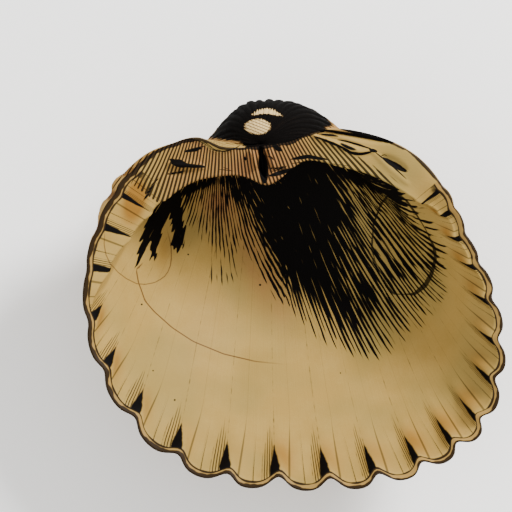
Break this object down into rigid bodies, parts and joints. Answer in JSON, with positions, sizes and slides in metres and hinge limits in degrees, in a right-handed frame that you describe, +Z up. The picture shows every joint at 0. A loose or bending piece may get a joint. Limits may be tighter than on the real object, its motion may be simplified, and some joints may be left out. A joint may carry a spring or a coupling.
{
  "type": "bivalve shell",
  "caption": "Single ribbed cockle valve lying on its rounded back, hollow side up, with a scalloped edge, a toothed hinge plate and a curled beak.",
  "frame": {"origin": "centre of the bounding box, on the surface that the valve lies on", "axes": "+X to the hind end of the valve, +Y to the hinge and beak, +Z up out of the hollow"},
  "size_m": [0.0502, 0.0468, 0.0184],
  "materials": {
    "shell": "satin shell lime, glossy inside and matt outside"
  },
  "bodies": {
    "root": {"shell_valve": "shell"}
  },
  "joints": []
}
